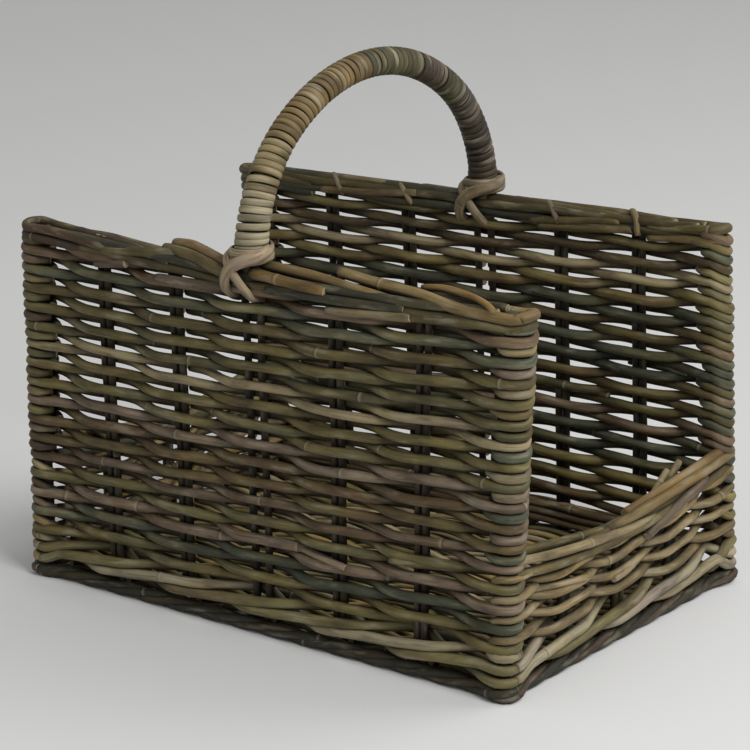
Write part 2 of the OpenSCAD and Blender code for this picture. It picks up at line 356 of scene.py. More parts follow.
@dataclass(frozen=True)
class RattanFinish:
    """Rattan with its bark on, aged out of doors.

    The bark is a hard, slightly waxy skin, so it keeps a soft gloss where it isn't worn. Age gives it
    blotches of grey and olive, fine lines along the rod, and a pale ring at each leaf scar.

    Sizes are in metres: blotch is the length of a patch of colour and streak the width of a line.
    """

    name: str
    shade: str = "#ffffff"
    blotch: float = 22 * MM
    streak: float = 1.1 * MM
    gloss_roughness: float = 0.50
    dry_roughness: float = 0.78
    # The grime colour, which also paints the shade in the crevices.
    grime_and_shade: str = "#1f1b10"
    grime_share: float = 0.55
    bloom: str = "#a89f88"
    bloom_share: float = 0.28
    # How far the painted shade in the crevices reaches.
    crevice_shade_reach: float = 15 * MM
    relief: float = 0.35 * MM

    def build(self) -> bpy.types.Material:
        """Makes the material from the rod_space and rod_tone attributes of its rods."""
        shader = Shader.begin(self.name)
        space = shader.put("ShaderNodeAttribute", {"attribute_name": "rod_space"}, output="Vector")
        tone = shader.put("ShaderNodeAttribute", {"attribute_name": "rod_tone"}, output="Vector")
        hue, light, scarred = shader.parts(tone)
        along = shader.parts(space)[0]
        bloom, grime_and_shade = linear(self.bloom), linear(self.grime_and_shade)

        blotches = self._pattern(shader, space, self.blotch, self.blotch / 4, 3.0)
        patches = self._pattern(shader, space, self.blotch * 3.2, self.blotch, 2.0)
        streaks = self._pattern(shader, space, self.streak * 40, self.streak, 3.0)
        pores = self._pattern(shader, space, self.streak * 3, self.streak * 0.6, 2.0)

        # Bark colour: each rod has its own place on the ramp, and drifts from it along its length.
        place = shader.maths("ADD", hue, shader.ranged(patches, (0.3, 0.7), (-0.09, 0.09)))
        stops = [(hue.value, linear(BARK_COLOURS[hue])) for hue in Hue]
        bark = shader.put("ShaderNodeValToRGB", {"stops": stops}, {0: place}, "Color")

        # Each rod is lighter or darker as a whole.
        value = shader.ranged(light, (-0.5, 1.0), (0.30, 1.5))
        level = shader.put("ShaderNodeVectorMath", {"operation": "SCALE"}, {0: bark, "Scale": value})
        colour = shader.mixed(1.0, level, linear(self.shade), "MULTIPLY")

        # Grime settles in blotches and in the fine lines. Bloom is where the wax has turned pale.
        settled = shader.ranged(blotches, (0.50, 0.68), (0.0, self.grime_share))
        lined = shader.ranged(streaks, (0.54, 0.70), (0.0, self.grime_share))
        colour = shader.mixed(shader.maths("MAXIMUM", settled, lined), colour, grime_and_shade)
        colour = shader.mixed(shader.ranged(blotches, (0.46, 0.30), (0.0, self.bloom_share)), colour, bloom)

        # Painted shade: where rods press together, ambient occlusion darkens the colour towards the grime
        # colour, for the shade in the gaps between rods.
        crevice_occlusion = shader.put("ShaderNodeAmbientOcclusion", {"samples": 4}, {"Distance": self.crevice_shade_reach}, "AO")
        colour = shader.mixed(shader.ranged(crevice_occlusion, (0.25, 0.80), (0.85, 0.0)), colour, grime_and_shade)

        # Leaf scars: on some rods a pale ring 3 mm long, with a dark line before it.
        turn = shader.maths("FRACT", shader.maths("DIVIDE", along, NODE_SPACING))
        ring = shader.maths("MULTIPLY", shader.ranged(turn, (0.0, 0.018), (0.4, 0.0)), scarred)
        scar = shader.maths("MULTIPLY", shader.ranged(turn, (0.985, 1.0), (0.0, 0.5)), scarred)
        colour = shader.mixed(scar, shader.mixed(ring, colour, bloom), grime_and_shade)

        roughness = shader.ranged(pores, (0.35, 0.65), (self.gloss_roughness, self.dry_roughness))
        height = shader.maths("ADD", shader.maths("ADD", streaks, pores), ring)
        skin = {"Base Color": colour, "Roughness": roughness, "IOR": 1.46, "Specular IOR Level": 0.42}
        return shader.finish(skin, height, 0.6, self.relief)

    def _pattern(
        self, shader: Shader, space: Socket, length: float, width: float, detail: float
    ) -> Socket:
        """A noise over the rod's own space.

        Args:
            shader: The material being built.
            space: The rod's own coordinates, in metres.
            length: The size of a patch along the rod.
            width: Its size across the rod.
            detail: How many finer layers it has.

        Returns:
            The noise, about 0.3 to 0.7.
        """
        scale = {0: space, 1: (1 / length, 1 / width, 1 / width)}
        scaled = shader.put("ShaderNodeVectorMath", {"operation": "MULTIPLY"}, scale)
        return shader.put("ShaderNodeTexNoise", None, {"Vector": scaled, "Scale": 1.0, "Detail": detail})


@dataclass(frozen=True)
class PithFinish:
    """The cut end of a rattan rod: dry, porous pith that shows as pale straw with open pores."""

    name: str = "rattan_cut_pith"
    colour: str = "#988a6c"
    pore: str = "#4a3e2a"
    pore_size: float = 0.9 * MM

    def build(self) -> bpy.types.Material:
        """Makes the material on Object coordinates."""
        shader = Shader.begin(self.name)
        where = shader.put("ShaderNodeTexCoord", output="Object")
        size = {"Vector": where, "Scale": 1 / self.pore_size}
        cells = shader.put("ShaderNodeTexVoronoi", None, size, "Distance")
        share = shader.ranged(cells, (0.1, 0.4), (0.8, 0.0))
        colour = shader.mixed(share, linear(self.colour), linear(self.pore))
        return shader.finish({"Base Color": colour, "Roughness": 0.9, "IOR": 1.45}, cells, 0.5, 0.3 * MM)


class Finish(Enum):
    """The basket's finishes, each with the record's material slot."""

    WEAVER = (RattanFinish("weathered_rattan_bark", shade="#fff9e4"), "weaver_rattan")
    END_WEAVER = (RattanFinish("sunned_rattan_bark", shade="#fff2da", bloom_share=0.4), "end_weaver_rattan")
    STAKE = (RattanFinish("dark_rattan_stake", shade="#9a8c78", grime_share=0.8), "stake_rattan")
    POST = (RattanFinish("rattan_post_bark", shade="#a27c62", bloom_share=0.1), "post_rattan")
    WALE = (RattanFinish("thick_rattan_wale", blotch=30 * MM, bloom_share=0.4), "wale_rattan")
    # The border's dark tint is painted shade, for the shadow along the basket's foot.
    BORDER = (RattanFinish("rattan_border_painted_shade", shade="#a89c88", grime_share=0.7), "border_rattan")
    RIM = (RattanFinish("worn_rattan_rim", shade="#d6ccb8", blotch=28 * MM), "rim_rattan")
    CORE = (RattanFinish("rattan_handle_pole"), "core_rattan")
    BINDING = (
        RattanFinish(
            "split_cane_binding", blotch=34 * MM, streak=0.9 * MM, bloom_share=0.5, relief=0.25 * MM
        ),
        "binding_cane",
    )
    LASHING = (RattanFinish("split_cane_lashing", shade="#fff4ee", blotch=14 * MM), "lashing_cane")

    @property
    def slot(self) -> str:
        """The record's material slot."""
        return self.value[1]

    def material(self) -> bpy.types.Material:
        """The finish's material, built when it is first asked for."""
        return bpy.data.materials.get(self.value[0].name) or self.value[0].build()


def pith() -> bpy.types.Material:
    """The cut-end material, built when it is first asked for."""
    return bpy.data.materials.get(PithFinish().name) or PithFinish().build()


# ------------------------------------------------------------------ rods


@dataclass
class Wander:
    """A slow, smooth, seeded drift, for lines that a hand has laid."""

    rng: random.Random
    amount: float
    length: float = 160 * MM
    waves: list[tuple[float, float, float]] = field(default_factory=list)

    def __post_init__(self) -> None:
        """Draws three waves of different lengths."""
        for share in (1.0, 0.57, 0.31):
            phase = self.rng.uniform(0, math.tau)
            self.waves.append((self.amount * share / 1.4, math.tau / (self.length * share), phase))

    def at(self, distance: float) -> float:
        """The drift at a distance along."""
        return sum(size * math.sin(rate * distance + phase) for size, rate, phase in self.waves)


@dataclass
class Rod:
    """One rod, ready to be swept.

    path is its centreline. radius is its nominal radius, and taper the share of it left at its far end.
    hue is its place on the bark ramp, and light how light it is, which drifts by fade. uneven is the drift
    of its radius, and scarred is 1 where its leaf scars show. start is where its grain starts. flat gives,
    where the rod is a split strip, the direction in which each point is thinned to the share thin.
    """

    path: list[Vector]
    radius: float
    hue: float
    light: float
    start: float
    uneven: Wander
    fade: Wander
    scarred: float
    taper: float = 1.0
    flat: list[Vector] | None = None
    thin: float = 1.0

    def lengths(self) -> list[float]:
        """The distance along the rod of each point."""
        return run(self.path)

    def radii(self) -> list[float]:
        """The radius at each point: a slow taper, some unevenness, a swelling at each leaf scar."""
        lengths = self.lengths()
        made = []
        for distance in lengths:
            size = self.radius * mix(1.0, self.taper, distance / lengths[-1])
            turn = ((distance + self.start) / NODE_SPACING) % 1.0
            size *= 1 + 0.07 * self.scarred * smooth(1 - min(turn, 1 - turn) / 0.035)
            made.append(size * (1 + self.uneven.at(distance)))
        made[0] *= END_SHARE
        made[-1] *= END_SHARE
        return made


def pick(rng: random.Random, shares: dict[Hue, float]) -> float:
    """A place on the bark ramp, drawn by the given shares, with a little spread."""
    hue = rng.choices(list(shares), list(shares.values()))[0]
    return min(1.0, max(0.0, hue.value + rng.uniform(-0.07, 0.07)))


def make_rod(
    path: list[Vector],
    radius: float,
    rng: random.Random,
    hue: float,
    light: float | None = None,
    **more: object,
) -> Rod:
    """A rod with its own random grain.

    Args:
        path: The centreline.
        radius: The nominal radius.
        rng: The sub-assembly's random numbers.
        hue: The place on the bark ramp.
        light: How light the rod is, from 0 to 1, or None to draw it.
        more: Other fields of Rod.

    Returns:
        The rod.
    """
    drawn = rng.uniform(0.0, 0.9)
    more.setdefault("fade", Wander(rng, 0.2, 130 * MM))
    more.setdefault("scarred", float(rng.random() < 0.25))
    return Rod(
        path=path,
        radius=radius,
        hue=hue,
        light=drawn if light is None else light,
        start=rng.uniform(0, 9),
        uneven=Wander(rng, 0.035, 60 * MM),
        **more,
    )


@dataclass
class Piece:
    """A named visual piece: rods that are swept into one mesh and stand for some of the frame's nodes."""

    name: str
    finish: Finish
    nodes: tuple[str, ...]
    lean: Lean
    sides: int = 10
    rods: list[Rod] = field(default_factory=list)

    def add(self, rod: Rod) -> None:
        """Adds a rod, moved to where it has settled."""
        rod.path = [self.lean.move(point) for point in rod.path]
        self.rods.append(rod)

    def build(self) -> bpy.types.Object:
        """Sweeps the rods, closes their ends, dresses the piece and fixes it to the frame."""
        mesh = self._sweep()
        self._mark(mesh)
        self._close(mesh)
        mesh.materials.append(self.finish.material())
        mesh.materials.append(pith())
        piece = bpy.data.objects.new(self.name, mesh)
        bpy.context.scene.collection.objects.link(piece)
        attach(piece, "root")
        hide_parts(*self.nodes)
        self.finish.slot
        triangles = sum(len(face.vertices) - 2 for face in mesh.polygons)
        LOG.info("%s: %d rods, %d triangles", self.name, len(self.rods), triangles)
        return piece

    def _sweep(self) -> bpy.types.Mesh:
        """Sweeps every rod as one spline of a bevelled curve, and returns the curve as a mesh."""
        curve = bpy.data.curves.new(self.name, "CURVE")
        curve.dimensions = "3D"
        curve.twist_mode = "MINIMUM"
        curve.bevel_depth = 1.0
        curve.bevel_resolution = self.sides // 2 - 2
        for rod in self.rods:
            spline = curve.splines.new("POLY")
            spline.points.add(len(rod.path) - 1)
            for knot, place, radius in zip(spline.points, rod.path, rod.radii()):
                knot.co = (*place, 1.0)
                knot.radius = radius
        holder = bpy.data.objects.new(self.name + "_curve", curve)
        bpy.context.scene.collection.objects.link(holder)
        graph = bpy.context.evaluated_depsgraph_get()
        mesh = bpy.data.meshes.new_from_object(holder.evaluated_get(graph))
        mesh.name = self.name
        bpy.data.objects.remove(holder)
        bpy.data.curves.remove(curve)
        mesh.materials.clear()
        return mesh

    def _mark(self, mesh: bpy.types.Mesh) -> None:
        """Thins the split strips, and gives each vertex its place in its rod's own space and its tone."""
        places = np.zeros(len(mesh.vertices) * 3, np.float32)
        mesh.vertices.foreach_get("co", places)
        places = places.reshape(-1, 3)
        space = np.zeros_like(places)
        tone = np.zeros_like(places)
        turns = np.arange(self.sides) * math.tau / self.sides
        first = 0
        for rod in self.rods:
            count, lengths = len(rod.path), rod.lengths()
            block = slice(first, first + count * self.sides)
            size = (count, self.sides, 3)
            rings, own, shown = (values[block].reshape(size) for values in (places, space, tone))
            if rod.flat:
                centre = np.array(rod.path, np.float32)[:, None, :]
                thin_way = np.array(rod.flat, np.float32)[:, None, :]
                depth = ((rings - centre) * thin_way).sum(2, keepdims=True)
                rings -= (1 - rod.thin) * depth * thin_way
            radii = np.array(rod.radii())[:, None]
            own[:, :, 0] = np.array(lengths)[:, None] + rod.start
            own[:, :, 1] = radii * np.cos(turns)
            own[:, :, 2] = radii * np.sin(turns)
            shown[:] = (rod.hue, 0.0, rod.scarred)
            shown[:, :, 1] = np.array([rod.light + rod.fade.at(distance) for distance in lengths])[:, None]
            first = block.stop
        mesh.vertices.foreach_set("co", places.ravel())
        for name, values in (("rod_space", space), ("rod_tone", tone)):
            mesh.attributes.new(name, "FLOAT_VECTOR", "POINT").data.foreach_set("vector", values.ravel())

    def _close(self, mesh: bpy.types.Mesh) -> None:
        """Closes the rods' ends with cut faces, and turns every face outwards."""
        shape = bmesh.new()
        shape.from_mesh(mesh)
        for face in shape.faces:
            face.smooth = True
        open_edges = [edge for edge in shape.edges if edge.is_boundary]
        for face in bmesh.ops.holes_fill(shape, edges=open_edges, sides=0)["faces"]:
            face.material_index = 1
            face.smooth = False
        bmesh.ops.recalc_face_normals(shape, faces=shape.faces)
        shape.to_mesh(mesh)
        shape.free()


def through(points: list[Vector], step: float = 4 * MM) -> list[Vector]:
    """A smooth line through a few points.

    Args:
        points: The points, in order.
        step: The distance between the points returned.

    Returns:
        Points of a Catmull-Rom line through them.
    """
    made = []
    ends = [points[0] * 2 - points[1], *points, points[-1] * 2 - points[-2]]
    for p0, p1, p2, p3 in zip(ends, ends[1:], ends[2:], ends[3:]):
        count = max(2, round((p2 - p1).length / step))
        for i in range(count):
            t = i / count
            made.append(
                0.5
                * (
                    p1 * 2
                    + (p2 - p0) * t
                    + (p0 * 2 - p1 * 5 + p2 * 4 - p3) * t**2
                    + (p1 * 3 - p0 - p2 * 3 + p3) * t**3
                )
            )
    made.append(points[-1].copy())
    return made


# ------------------------------------------------------------------ the basket's sub-assemblies


@dataclass
class SubAssembly:
    """A group of the basket's pieces, placed by the layout and moved by the lean."""

    layout: Layout
    lean: Lean

    def piece(self, node: str, finish: Finish, sides: int = 10, kind: str = "rods") -> Piece:
        """An empty piece that stands for one node and is named for it."""
        return Piece(f"{node}_{kind}", finish, (node,), self.lean, sides)


@dataclass
class WallPart(SubAssembly):
    """A sub-assembly of one wall."""

    side: Side

    @property
    def half(self) -> float:
        """Half the distance between the wall's posts."""
        return self.layout.half(self.side)

    def spot(self, u: float, v: float, z: float) -> Vector:
        """A point of the wall, given as Layout.spot takes it."""
        return self.layout.spot(self.side, u, v, z)


@dataclass
class Uprights(SubAssembly):
    """The stakes and corner posts that everything is woven on.

    end_drop is how far an end wall's stakes stop below the top of their node, under the sagging rim.
    """

    seed: int = 11
    steps: int = 24
    end_drop: float = 22 * MM
    post_rise: float = 6 * MM

    def build(self) -> None:
        """Builds each stake pair and each post."""
        rng = random.Random(self.seed)
        for label, count in (("near", 5), ("far", 5), ("left", 3), ("right", 3)):
            for number in range(1, count + 1):
                self._pair(f"{label}_stake_pair_{number}", rng)
        for wall in ("near", "far"):
            for end in ("left", "right"):
                self._post(f"corner_post_{wall}_{end}", rng)

    def _pair(self, node: str, rng: random.Random) -> None:
        """Builds a pair of stakes inside its node's box."""
        lo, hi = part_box(node)
        middle = (lo + hi) / 2
        radius = self.layout.stake_r
        wide = Vector((1, 0, 0)) if hi.x - lo.x > hi.y - lo.y else Vector((0, 1, 0))
        reach = max(hi.x - lo.x, hi.y - lo.y) / 2 - radius
        heights = spread(lo.z, hi.z if wide.x else hi.z - self.end_drop, self.steps)
        piece = self.piece(node, Finish.STAKE, sides=8)
        for way in (-1, 1):
            sway = Wander(rng, 0.5 * MM)
            path = [Vector((middle.x, middle.y, z)) + wide * (way * reach + sway.at(z)) for z in heights]
            hue = pick(rng, {Hue.GREEN_GREY: 2, Hue.OLIVE: 3, Hue.MAUVE: 2})
            piece.add(make_rod(path, radius, rng, hue, taper=0.94))
        piece.build()

    def _post(self, node: str, rng: random.Random) -> None:
        """Builds a corner post, whose sawn top stands just under the rim."""
        lo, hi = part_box(node)
        middle = (lo + hi) / 2
        path = [Vector((middle.x, middle.y, z)) for z in spread(lo.z, hi.z + self.post_rise, self.steps)]
        piece = self.piece(node, Finish.POST, sides=14, kind="rod")
        piece.add(make_rod(path, self.layout.post_r, rng, Hue.TAN.value, 0.4))
        piece.build()


@dataclass
class WovenWall(WallPart):
    """A wall in plain weave.

    Each row is one rod laid double round both posts. Its halves lie on levels of their own and pass each
    stake on opposite sides. A row passes the posts outside on its lower level, or on its upper one where
    outside_share is 0.75, so that rows of neighbouring walls stack up round the post they share.

    press is how far a rod is dented into a stake, droop how far its inner passes hang below its outer
    ones, tilt how far a pass rises from one end to the other, and dip how far the top row sags between
    the posts. splices is the number of spare ends, and steps the number of points in a bay.
    """

    rows: int
    pitch: float
    finish: Finish
    hues: dict[Hue, float]
    seed: int
    outside_share: float = 0.25
    rod_r: float = 3.9 * MM
    looseness: float = 0.8 * MM
    droop: float = 1.2 * MM
    tilt: float = 0.7 * MM
    press: float = 0.5 * MM
    dip: float = 0.0
    splices: int = 2
    steps: int = 14

    def _level(self, u: float, z: float) -> float:
        """A height in a wall whose rim dips between its posts."""
        s = (u / self.half) ** 2
        share = (z - self.layout.weave_z) / (self.rows * self.pitch)
        return z - share * self.dip * (1 - s)

    def _height(self, number: int, share: float) -> float:
        """The height at a share of the way up a row."""
        return self.layout.weave_z + (number + share) * self.pitch

    def _row(self, number: int, rng: random.Random) -> Rod:
        """One row: out along the wall, round a post, back, and round the other post."""
        half, bay, bays = self.half, self.layout.bay(self.side), self.layout.bays(self.side)
        radius = self.rod_r * rng.uniform(0.91, 1.09)
        at_stake, at_post = self.layout.stake_r + radius - self.press, self.layout.post_r + radius
        sway = [Wander(rng, self.looseness, 190 * MM) for _ in range(2)]
        swing = [Wander(rng, self.looseness * 0.6, 120 * MM) for _ in range(2)]

        def along(u: float, strand: int) -> Vector:
            phase = math.pi * (u + half) / bay
            reach = mix(at_stake, at_post, smooth(1 - (half - abs(u)) / (0.6 * bay)))
            swung = (1, -1)[strand] * math.cos(phase) * (1.5 - 0.5 * math.cos(phase) ** 2)
            v = reach * swung + swing[strand].at(u)
            loose = smooth((half - abs(u)) / (0.3 * bay))
            give = self.tilt * math.sin(2 * phase) - self.droop * (1 - swung) / 2 + sway[strand].at(u)
            z = self._height(number, abs(strand - self.outside_share)) + give * loose
            return self.spot(u, v, self._level(u, z))

        def around(end: int) -> list[Vector]:
            first, last = (along(end * half, strand).z for strand in ((0, 1) if end > 0 else (1, 0)))
            made = []
            for i in range(1, 9):
                angle = math.pi * i / 9
                u = end * (half + at_post * math.sin(angle))
                share = max(0.0, i / 4.5 - 1) if end > 0 else min(1.0, i / 4.5)
                made.append(self.spot(u, at_post * math.cos(angle) * end, mix(first, last, share)))
            return made

        ahead = [along(u, 0) for u in spread(-half, half, bays * self.steps)]
        back = [along(u, 1) for u in spread(half, -half, bays * self.steps)]
        turned = around(1)
        loop = ahead + turned + back + around(-1)
        # The rod's ends meet on the side of a stake that isn't seen.
        stake = rng.choice(range(1 if self.side is Side.FAR else 2, bays, 2))
        cut = len(ahead) + len(turned) + (bays - stake) * self.steps
        return make_rod(loop[cut:] + loop[:cut], radius, rng, pick(rng, self.hues))

    def _hook(self, number: int, end: int, rng: random.Random) -> Rod:
        """A short rod hooked round a post between two rows, which packs the corner solid."""
        uneven = rng.uniform(-0.7, 0.7) * MM
        outer, inner = self._height(number, 0.75) + uneven, self._height(number, 1.25)
        radius = self.rod_r * rng.uniform(0.88, 1.04)
        turn_r = self.layout.post_r + radius + rng.uniform(-0.3, 0.7) * MM
        tail = rng.uniform(11, 19) * MM
        knots = [(-tail, 1 * MM, outer), (-5 * MM, turn_r * 0.96, outer)]
        for i in range(9):
            angle = math.pi * i / 8
            level = mix(outer, inner, max(0.0, i / 4 - 1))
            knots.append((turn_r * math.sin(angle), turn_r * math.cos(angle), level))
        knots += [(-5 * MM, -turn_r * 0.96, inner), (-tail, -1 * MM, inner)]
        spots = [self.spot(end * (self.half + past), v, z) for past, v, z in knots]
        return make_rod(through(spots, 3.5 * MM), radius, rng, pick(rng, self.hues))

    def _splice(self, rng: random.Random) -> Rod:
        """A rod's spare end, laid in beside a row so that its cut shows."""
        bay = self.layout.bay(self.side)
        u0 = -self.half + rng.randrange(1, self.layout.bays(self.side)) * bay
        z0 = self._height(rng.randrange(1, self.rows), 0.5)
        way = rng.choice((-1, 1))
        reach = rng.uniform(0.16, 0.34) * bay
        knots = (
            (u0 - way * 0.62 * bay, -3 * MM, z0 + 2 * MM),
            (u0 - way * 0.30 * bay, 3 * MM, z0 + 1 * MM),
            (u0, 8 * MM, z0),
            (u0 + way * reach, 9.5 * MM, z0 - 1 * MM),
        )
        line = through([self.spot(u, v, self._level(u, z)) for u, v, z in knots])
        return make_rod(line, self.rod_r * rng.uniform(0.65, 0.9), rng, pick(rng, self.hues))

    def build(self) -> None:
        """Builds the wall's rows, corner hooks and spare ends as one piece."""
        rng = random.Random(self.seed)
        kind = "wall" if self.side.is_long else "end"
        piece = self.piece(f"{self.side.label}_{kind}_weave", self.finish)
        for number in range(self.rows):
            piece.add(self._row(number, rng))
            if self.side.is_long and self._height(number, 0.75) > self.layout.end_rim_top:
                for end in (-1, 1):
                    piece.add(self._hook(number, end, rng))
        for _ in range(self.splices):
            piece.add(self._splice(rng))
        piece.build()


@dataclass
class Girdle:
    """A line of rods round the whole basket, past the outside of every post."""

    layout: Layout
    turn_r: float

    @property
    def corner(self) -> float:
        """The distance round a corner."""
        return self.turn_r * math.pi / 2

    def lengths(self) -> list[tuple[Side, float, float]]:
        """Each wall with the distances at which it starts and ends, without its corners."""
        made, done = [], 0.0
        for side in Side:
            length = 2 * self.layout.half(side)
            made.append((side, done, done + length))
            done += length + self.corner
        return made

    def walls(self, step: float) -> list[tuple[Side, list[float]]]:
        """Each wall with distances about a step apart, from its first post to the end of its last corner."""
        made = []
        for side, start, end in self.lengths():
            reach = end - start + self.corner
            count = round(reach / step)
            made.append((side, [start + reach * i / count for i in range(count + 1)]))
        return made

    def spot(self, distance: float, v: float, z: float) -> tuple[Vector, float]:
        """A point on the girdle.

        Args:
            distance: How far round, from the near left post.
            v: How far outside the stakes' plane, between corners.
            z: The height.

        Returns:
            The point, and how much of it is on a corner, from 0 to 1.
        """
        distance %= self.lengths()[-1][2] + self.corner
        for side, start, end in self.lengths():
            half = self.layout.half(side)
            if distance <= end:
                u = distance - start - half
                near = smooth(1 - (half - abs(u)) / (22 * MM))
                return self.layout.spot(side, u, mix(v, self.turn_r, near), z), near
            if distance < end + self.corner:
                angle = (distance - end) / self.turn_r
                centre = self.layout.spot(side, half, 0, z)
                way = side.out * math.cos(angle) + side.along * math.sin(angle)
                return centre + way * self.turn_r, 1.0
        raise ValueError("the distance is past the end of the girdle")


@dataclass
class Wale(SubAssembly):
    """Three thick rods laid round just above the foot, each over two stakes and behind the third.

    inside and outside are where a rod passes a stake, in millimetres outwards from the stakes' plane.
    lead is how many bays into a stroke the first rod is at the first post.
    """

    rod_r: float = 4.3 * MM
    inside: float = -7.5
    outside: float = 8.6
    lead: float = 0.62
    seed: int = 23
    step: float = 5 * MM

    def build(self) -> None:
        """Builds the wale as one piece for each wall."""
        rng = random.Random(self.seed)
        girdle = Girdle(self.layout, self.layout.post_r + self.rod_r)
        low = self.layout.wale_z + self.rod_r * 0.7
        high = self.layout.weave_z - self.rod_r * 0.5
        for side, distances in girdle.walls(self.step):
            piece = self.piece(f"wale_{side.label}", Finish.WALE, sides=12)
            bay = self.layout.bay(side)
            for strand in range(3):
                drift = Wander(rng, 0.6 * MM)
                hue = pick(rng, {Hue.OLIVE: 3, Hue.PALE: 3, Hue.TAN: 3, Hue.GOLD: 1})
                path = []
                for distance in distances:
                    # A stroke takes three bays. It comes out at 0, climbs to 0.82, and drops behind a stake.
                    phase = ((distance - distances[0]) / bay + strand + self.lead) / 3 % 1.0 - 0.04
                    front = smooth((phase + 0.04) / 0.18) * smooth((0.83 - phase) / 0.30)
                    climb, drop = (phase + 0.04) / 0.86, (phase - 0.82) / 0.14
                    z = mix(low, high, climb) if phase < 0.82 else mix(high, low, drop)
                    point, corner = girdle.spot(distance, mix(self.inside, self.outside, front) * MM, 0.0)
                    point.z = mix(z, mix(low, high, strand / 2), corner) + drift.at(distance)
                    path.append(point)
                radius = self.rod_r * rng.uniform(0.93, 1.05)
                piece.add(make_rod(path, radius, rng, hue, rng.uniform(0.5, 0.9)))
            piece.build()


@dataclass
class FootBorder(SubAssembly):
    """The rolled border that the basket stands on: three rods twisted like a rope under each wall.

    twist is the length of one turn of the rope. out is how far it lies outside the stakes' plane.
    """

    rod_r: float = 3.4 * MM
    twist: float = 96 * MM
    out: float = 4 * MM
    turn_r: float = 10 * MM
    seed: int = 31
    step: float = 5 * MM

    def build(self) -> None:
        """Builds the border as one piece for each wall."""
        rng = random.Random(self.seed)
        girdle = Girdle(self.layout, self.turn_r)
        middle_z = self.layout.foot_top / 2
        swing = middle_z - self.rod_r
        for side, distances in girdle.walls(self.step):
            piece = self.piece(f"foot_border_{side.label}", Finish.BORDER)
            for strand in range(3):
                path = []
                for distance in distances:
                    angle = math.tau * (distance / self.twist + strand / 3)
                    point, corner = girdle.spot(distance, self.out + 0.7 * swing * math.cos(angle), 0.0)
                    point += point.normalized() * (corner * swing * 0.9 * math.cos(angle))
                    point.z = middle_z + swing * math.sin(angle)
                    path.append(point)
                hue = pick(rng, {Hue.GREEN_GREY: 2, Hue.OLIVE: 3, Hue.MAUVE: 2})
                piece.add(make_rod(path, self.rod_r, rng, hue))
            piece.build()


@dataclass
class Floor(SubAssembly):
    """The floor: long rods woven over and under the base sticks, and rods along its edges.

    far_edges are the heights of the rods at the far wall, whose foot shows over the low end. edges are
    those at the other walls.
    """

    edges: tuple[float, ...] = (30 * MM,)
    far_edges: tuple[float, ...] = (23 * MM, 30 * MM, 37 * MM)
    rod_r: float = 2.9 * MM
    pitch: float = 6.4 * MM
    swing: float = 3.5 * MM
    edge_r: float = 3.6 * MM
    seed: int = 41

    def build(self) -> None:
        """Builds the sticks and the woven rods."""
        rng = random.Random(self.seed)
        for number in range(1, 8):
            self._stick(f"base_stick_{number}", rng)
        lo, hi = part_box("base_weave")
        middle_z = (lo.z + hi.z) / 2
        piece = self.piece("base_weave", Finish.WEAVER, sides=8)
        reach_x, reach_y = self.layout.post_x - 6 * MM, self.layout.post_y - 8 * MM
        bay = self.layout.bay(Side.NEAR)
        swing = self.swing + self.rod_r * 0.75
        for row, y in enumerate(spread(-reach_y, reach_y, round(2 * reach_y / self.pitch) - 1)):
            drift = Wander(rng, 0.9 * MM)
            path = []
            for x in spread(-reach_x, reach_x, 84):
                z = middle_z + swing * math.cos(math.pi * (x / bay + row))
                path.append(Vector((x, y + drift.at(x), z)))
            hue = pick(rng, {Hue.OLIVE: 4, Hue.PALE: 3, Hue.TAN: 3, Hue.GREEN_GREY: 1})
            radius = self.rod_r * rng.uniform(0.92, 1.08)
            piece.add(make_rod(path, radius, rng, hue, rng.uniform(0.5, 1.1)))
        for side in Side:
            for z in self.far_edges if side is Side.FAR else self.edges:
                piece.add(self._edge(side, z, rng))
        piece.build()

    def _edge(self, side: Side, z: float, rng: random.Random) -> Rod:
        """A rod laid inside a wall's foot, over the joint between wall and floor."""
        half = self.layout.half(side) - 14 * MM
        drift = Wander(rng, 0.8 * MM)
        path = [self.layout.spot(side, u, -13 * MM, z + drift.at(u)) for u in spread(-half, half, 60)]
        return make_rod(path, self.edge_r, rng, Hue.UMBER.value, 0.2)

    def _stick(self, node: str, rng: random.Random) -> None:
        """Builds one stick, or two side by side, inside its node's box."""
        lo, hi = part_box(node)
        radius = (hi.z - lo.z) / 2
        reach = (hi.x - lo.x) / 2 - radius
        piece = self.piece(node, Finish.STAKE, sides=8)
        for way in (-1, 1) if reach > radius / 2 else (0,):
            x = (lo.x + hi.x) / 2 + way * reach
            path = [Vector((x, y, (lo.z + hi.z) / 2)) for y in spread(lo.y, hi.y, 20)]
            piece.add(make_rod(path, radius, rng, pick(rng, {Hue.OLIVE: 1, Hue.MAUVE: 1})))
        piece.build()


@dataclass(frozen=True)
class RimRod:
    """One rod of a long rim.

    line has its knots in millimetres: along the wall, outwards, and over the rim's top. Where post is -1
    or 1, the rod goes on round that post, at the three heights of turn, and back inside the wall.
    """

    line: tuple[tuple[float, float, float], ...]
    radius: float
    hue: Hue
    light: float
    post: int = 0
    turn: tuple[float, float, float] = (0, 0, 0)


